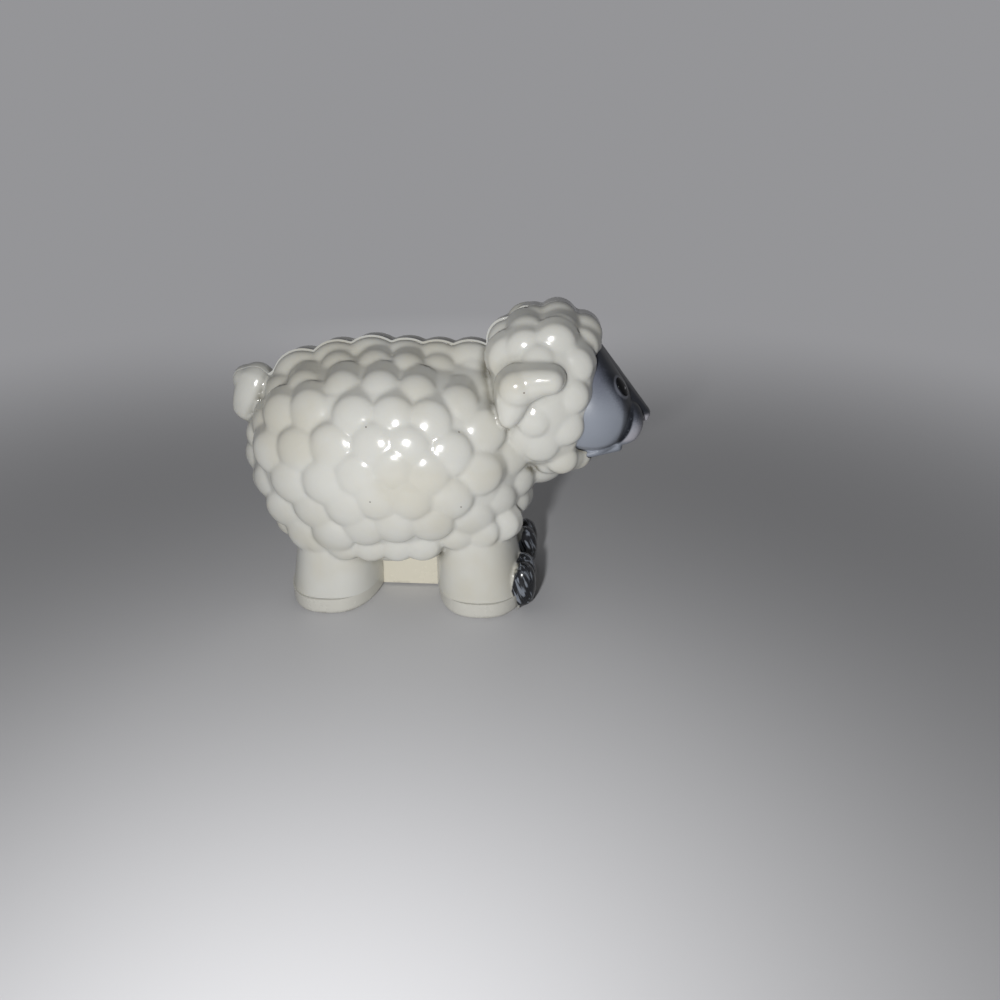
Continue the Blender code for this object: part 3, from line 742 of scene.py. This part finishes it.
ridge_slope = (nose_middle - brow_middle).normalized()
eye_along = (ridge_slope - eye_outward * ridge_slope.dot(eye_outward)).normalized()
eye_across = eye_along.cross(eye_outward)
eye_middle = eye_place - eye_outward * eye_sunk
flip_right = Matrix.Diagonal((1, -1, 1))
eye_paint, tree, shader, places, folded = new_plastic("eye_paint_black")
# Painted highlight: a small pale spot on each eye in place of the lamp's reflection
painted_highlight_place = flip_right @ (eye_place + eye_along * painted_highlight_rise)
painted_highlight_reach = reach_from(tree, folded, painted_highlight_place, painted_highlight_half)
colour = mixed(tree, faded(tree, painted_highlight_reach, *painted_highlight_fade), eye_black, eye_painted_highlight)
tree.links.new(colour, shader.inputs["Base Color"])
shader.inputs["Specular IOR Level"].default_value = eye_specular
moulded_surface(tree, shader, places, roughness_low=0.08, roughness_high=0.18, bump=0.05)
for side, name in ((-1, "eye_right"), (1, "eye_left")):
    bpy.ops.object.select_all(action="DESELECT")
    bpy.ops.mesh.primitive_uv_sphere_add(segments=48, ring_count=24, radius=1)
    eye = bpy.context.object
    eye.name = name
    flip = Matrix.Diagonal((1, -side, 1))
    turn = flip @ Matrix((eye_across, eye_along, eye_outward)).transposed()
    sized = turn.to_4x4() @ Matrix.Diagonal((*eye_half, 1))
    eye.matrix_world = Matrix.LocRotScale(flip @ eye_middle, None, None) @ sized
    bpy.ops.object.transform_apply(location=True, rotation=True, scale=True)
    outward_faces(eye)
    dress(eye, eye_paint, "face_plastic")

# The wool shells: the skin parted on the seam, which lies a little to the right of the middle, in
# glossy ivory plastic, tinted brown in the valleys, partly as dirt and partly as painted shade.
# They are glued with a hair-thin gap; the left rim stands a hair proud of the right one, whose edge
# is rounded. The hooves of the front feet are painted black, with pale streaks.
seam_gap = 0.0002
left_rim_proud = 0.0004
left_rim_width = 0.0009
right_rim_rounding = 0.0002
right_rim_width = 0.0005
rim_front_x = 0.0262
rim_low_z = 0.0360
rim_least_slope = 0.2
chip_x = 0.0163
crown_z = 0.0400
tail_root_x = -0.0320
tail_root_z = 0.0330
wool_ivory = (0.600, 0.598, 0.560, 1)
wool_warm = (0.560, 0.545, 0.480, 1)
wool_dirt_and_shade = (0.120, 0.106, 0.066, 1)
warm_scale = 70.0
warm_fade = (0.42, 0.68)
dirt_and_shade_reach = 0.0030
dirt_and_shade_fade = (0.90, 0.30)
dirt_and_shade_share = 0.95
dirt_and_shade_low_fade = (0.0042, 0.0056)
left_rim_start = (seam_side, seam_side + 0.0001)
left_rim_end = (-0.0006, -0.0009)
speck_brown = (0.090, 0.072, 0.050, 1)
speck_places_px = ((366, 427), (370, 502), (461, 507), (459, 432), (524, 393))
speck_radius = 0.00017
chip_place_px = (526, 307)
chip_radius = 0.0005
speck_edge_scale = 2500.0
speck_raggedness = 0.9
speck_fade = (1.5, 1.1)
speck_share = 0.85
stray_speck_scale = 110.0
stray_speck_fade = (0.022, 0.010)
stray_speck_choice = (0.93, 0.94)
hoof_black = (0.010, 0.011, 0.014, 1)
hoof_grey = (0.200, 0.220, 0.255, 1)
hoof_middle = (front_leg_x + 0.0090, 0.0078, toe_middle_z)
hoof_half = (0.0035, 0.0066, 0.0054)
hoof_edge_scale = 600.0
hoof_raggedness = 0.25
hoof_fade = (1.18, 1.10)
hoof_back_fade = (0.010, 0.011)
streak_slant = math.radians(-22)
streak_size = (0.0006, 0.0009, 0.0040)
streak_fade = (0.52, 0.66)
milky_share = 0.12
milky_colours = (1.0, 0.8, 0.5)
milky_depth = 0.0012

wool_left = wool.copy()
wool_left.data = wool.data.copy()
bpy.context.collection.objects.link(wool_left)
carved(wool, add_block((-well_clear, seam_side - seam_gap / 2, -well_clear), far_high))
carved(wool_left, add_block(far_low, (well_clear, seam_side + seam_gap / 2, well_clear)))


def shape_rim(shell, proud, width):
    """The shell's rim drawn out, or in where the height is negative, and fading over its width."""
    outward_faces(shell)
    bpy.ops.object.mode_set(mode="EDIT")
    bpy.ops.mesh.quads_convert_to_tris(quad_method="BEAUTY", ngon_method="BEAUTY")
    bpy.ops.object.mode_set(mode="OBJECT")
    moves = []
    for vertex in shell.data.vertices:
        from_seam = abs(vertex.co.y - seam_side)
        across = Vector((vertex.normal.x, 0, vertex.normal.z))
        on_tail = vertex.co.x < tail_root_x and vertex.co.z > tail_root_z
        rim_end_x = chip_x if vertex.co.z > crown_z else rim_front_x
        on_rim = from_seam < width and rim_low_z < vertex.co.z and vertex.co.x < rim_end_x
        if on_rim and across.length > rim_least_slope and not on_tail:
            share = (1 - from_seam / width) ** 2 * min(1, (rim_end_x - vertex.co.x) / width)
            moves.append((vertex, across.normalized() * proud * share))
    for vertex, move in moves:
        vertex.co += move


shape_rim(wool_left, left_rim_proud, left_rim_width)
shape_rim(wool, -right_rim_rounding, right_rim_width)
wool.name = "wool_shell_right"
wool_left.name = "wool_shell_left"

wool_plastic, tree, shader, places, folded = new_plastic("wool_plastic_gloss")
along, across, up = add_node(tree, "SeparateXYZ", {0: places}).outputs
warmth = faded(tree, grained(tree, places, warm_scale), *warm_fade)
colour = mixed(tree, warmth, wool_ivory, wool_warm)
# Brown in the valleys, partly dirt and partly painted shade where the valleys lie in shade
open_air = add_node(tree, "AmbientOcclusion", {"Distance": dirt_and_shade_reach}, samples=8)
on_rim = counted(tree, "MULTIPLY", faded(tree, across, *left_rim_start),
                 faded(tree, across, *left_rim_end))
dirt_and_shade = counted(tree, "MULTIPLY", faded(tree, open_air.outputs["AO"], *dirt_and_shade_fade),
               counted(tree, "SUBTRACT", 1.0, on_rim))
dirt_and_shade = counted(tree, "MULTIPLY", dirt_and_shade, faded(tree, up, *dirt_and_shade_low_fade))
colour = mixed(tree, counted(tree, "MULTIPLY", dirt_and_shade, dirt_and_shade_share), colour, wool_dirt_and_shade)
speck = 0.0
ragged = counted(tree, "MULTIPLY", grained(tree, places, speck_edge_scale), speck_raggedness)
specks = [(place_px, speck_radius) for place_px in speck_places_px]
for place_px, radius in (*specks, (chip_place_px, chip_radius)):
    _, place, _, _ = wool.ray_cast(sight_point, sight_line(place_px))
    reach = reach_from(tree, places, place, (radius, radius, radius))
    reach = counted(tree, "ADD", reach, ragged)
    speck = counted(tree, "MAXIMUM", faded(tree, reach, *speck_fade), speck)
cells = add_node(tree, "TexVoronoi", {"Vector": places, "Scale": stray_speck_scale})
chance = add_node(tree, "SeparateColor", {0: cells.outputs["Color"]}).outputs[0]
stray = counted(tree, "MULTIPLY", faded(tree, cells.outputs["Distance"], *stray_speck_fade),
                faded(tree, chance, *stray_speck_choice))
speck = counted(tree, "MAXIMUM", stray, speck)
colour = mixed(tree, counted(tree, "MULTIPLY", speck, speck_share), colour, speck_brown)
ragged = counted(tree, "MULTIPLY", grained(tree, places, hoof_edge_scale), hoof_raggedness)
hoof_reach = counted(tree, "ADD", reach_from(tree, folded, hoof_middle, hoof_half), ragged)
painted = counted(tree, "MULTIPLY", faded(tree, hoof_reach, *hoof_fade),
                  faded(tree, along, *hoof_back_fade))
turned = add_node(tree, "Mapping", {"Vector": places, "Rotation": (0, streak_slant, 0),
                                    "Scale": streak_size}, vector_type="TEXTURE")
streaks = add_node(tree, "TexNoise", {"Vector": turned.outputs[0], "Scale": 1.0, "Detail": 2.0,
                                      "Distortion": 0.4})
streak = faded(tree, streaks.outputs["Fac"], *streak_fade)
colour = mixed(tree, painted, colour, mixed(tree, streak, hoof_black, hoof_grey))
tree.links.new(colour, shader.inputs["Base Color"])
shader.inputs["Subsurface Weight"].default_value = milky_share
shader.inputs["Subsurface Radius"].default_value = milky_colours
shader.inputs["Subsurface Scale"].default_value = milky_depth
moulded_surface(tree, shader, places, roughness_low=0.10, roughness_high=0.22, bump=0.10)
dress(wool, wool_plastic, "wool_plastic", "body_shell_right")
dress(wool_left, wool_plastic, "wool_plastic", "body_shell_left")

# The base cap: two oval pads under the feet and the web between them, in one cream piece that is
# pressed into the hollow legs. The pads are rubbed paler, and they are darker in patches towards
# their lower edges.
pad_height = 0.0035
pad_edge = 0.0012
pad_edge_cuts = 6
spine_lift = 0.0005
base_cream = (0.690, 0.655, 0.545, 1)
base_rubbed = (0.575, 0.565, 0.515, 1)
base_low_dark = (0.230, 0.205, 0.160, 1)
rubbed_side_fade = (0.00325, 0.00345)
low_dark_fade = (0.0012, 0.0001)
low_dark_patch_scale = 500.0
low_dark_patch_fade = (0.40, 0.66)
low_dark_share = 0.6


def add_pad(name, middle_x):
    """A pad with a rounded lower edge."""
    pad = add_prism(name, full_oval(middle_x), 0, pad_height)
    outward_faces(pad)
    bpy.ops.object.mode_set(mode="EDIT")
    bpy.ops.mesh.select_all(action="DESELECT")
    bpy.ops.object.mode_set(mode="OBJECT")
    for edge in pad.data.edges:
        heights = [pad.data.vertices[index].co.z for index in edge.vertices]
        edge.select = max(heights) < pad_height / 2
    bpy.ops.object.mode_set(mode="EDIT")
    bpy.ops.mesh.bevel(offset=pad_edge, segments=pad_edge_cuts)
    bpy.ops.mesh.select_all(action="DESELECT")
    bpy.ops.object.mode_set(mode="OBJECT")
    return pad


cap = add_pad("base_cap_skin", rear_leg_x)
carved(cap, add_pad("front_pad", front_leg_x), "UNION", "EXACT")
carved(cap, add_block((rear_leg_x - spine_reach, -spine_half_width, spine_lift),
                      (front_leg_x + spine_reach, spine_half_width, spine_top)), "UNION", "EXACT")
base_plastic, tree, shader, places, folded = new_plastic("base_plastic_cream")
_, across, up = add_node(tree, "SeparateXYZ", {0: folded}).outputs
colour = mixed(tree, faded(tree, across, *rubbed_side_fade), base_cream, base_rubbed)
# Darker in patches towards the lower edges of the pads
patches = faded(tree, grained(tree, places, low_dark_patch_scale), *low_dark_patch_fade)
low_darkening = counted(tree, "MULTIPLY", faded(tree, up, *low_dark_fade), patches)
colour = mixed(tree, counted(tree, "MULTIPLY", low_darkening, low_dark_share), colour, base_low_dark)
tree.links.new(colour, shader.inputs["Base Color"])
moulded_surface(tree, shader, places, roughness_low=0.20, roughness_high=0.36, bump=0.10)
dress(cap, base_plastic, "base_plastic", "base_cap")

# The stage: a plain pale sweep that fades into the backdrop, a small soft lamp beside the lens, a
# broad low one on the far side that neither the lens nor the gloss sees, and a faint even surround.
floor_size = 6.0
floor_pale = (0.60, 0.60, 0.615, 1)
floor_roughness = 0.65
floor_specular = 0.2
sweep_fade = (0.05, 0.30)
backdrop_pale = (0.30, 0.30, 0.312, 1)
surround_light = (0.80, 0.81, 0.84, 1)
surround_strength = 0.05
lamp_place = sight_point + Vector((-0.022, -0.010, -0.012))
lamp_size = 0.009
lamp_energy = 0.168
fill_place = Vector((-0.040, 0.300, 0.055))
fill_size = 0.200
fill_energy = 0.30
lamp_aim = Vector((0, 0, 0.028))


def seen_share(tree):
    """1 where the camera or a gloss sees it, and 0 for the light that it throws."""
    seen = add_node(tree, "LightPath", {})
    return counted(tree, "MAXIMUM", seen.outputs["Is Camera Ray"], seen.outputs["Is Glossy Ray"])


def add_lamp(place, size, energy):
    """A round lamp that shines on the middle of the animal."""
    bpy.ops.object.light_add(type="AREA", location=place)
    lamp = bpy.context.object
    lamp.data.shape = "DISK"
    lamp.data.size = size
    lamp.data.energy = energy
    lamp.rotation_euler = (lamp_aim - lamp.location).to_track_quat("-Z", "Y").to_euler()
    return lamp


bpy.ops.object.select_all(action="DESELECT")
bpy.ops.mesh.primitive_plane_add(size=floor_size)
floor = bpy.context.object
floor.name = "floor"
floor_paint, tree, shader, places, _ = new_plastic("floor_paint_pale")
shader.inputs["Base Color"].default_value = floor_pale
shader.inputs["Roughness"].default_value = floor_roughness
shader.inputs["Specular IOR Level"].default_value = floor_specular
distance = add_node(tree, "VectorMath", {0: places}, operation="LENGTH").outputs["Value"]
far_share = counted(tree, "MULTIPLY", faded(tree, distance, *sweep_fade), seen_share(tree))
backdrop = add_node(tree, "Emission", {"Color": backdrop_pale, "Strength": 1.0}).outputs[0]
sweep = add_node(tree, "MixShader", {0: far_share, 1: shader.outputs[0], 2: backdrop}).outputs[0]
tree.links.new(sweep, tree.nodes["Material Output"].inputs["Surface"])
floor.data.materials.append(floor_paint)

world = bpy.data.worlds.new("surround")
world.use_nodes = True
tree = world.node_tree
even_light = tree.nodes["Background"]
even_light.inputs["Color"].default_value = surround_light
even_light.inputs["Strength"].default_value = surround_strength
backdrop = add_node(tree, "Background", {"Color": backdrop_pale, "Strength": 1.0}).outputs[0]
around = add_node(tree, "MixShader", {0: seen_share(tree), 1: even_light.outputs[0], 2: backdrop})
tree.links.new(around.outputs[0], tree.nodes["World Output"].inputs["Surface"])
bpy.context.scene.world = world

add_lamp(lamp_place, lamp_size, lamp_energy)
fill = add_lamp(fill_place, fill_size, fill_energy)
fill.visible_camera = False
fill.visible_glossy = False

bpy.context.scene.view_settings.view_transform = "Standard"
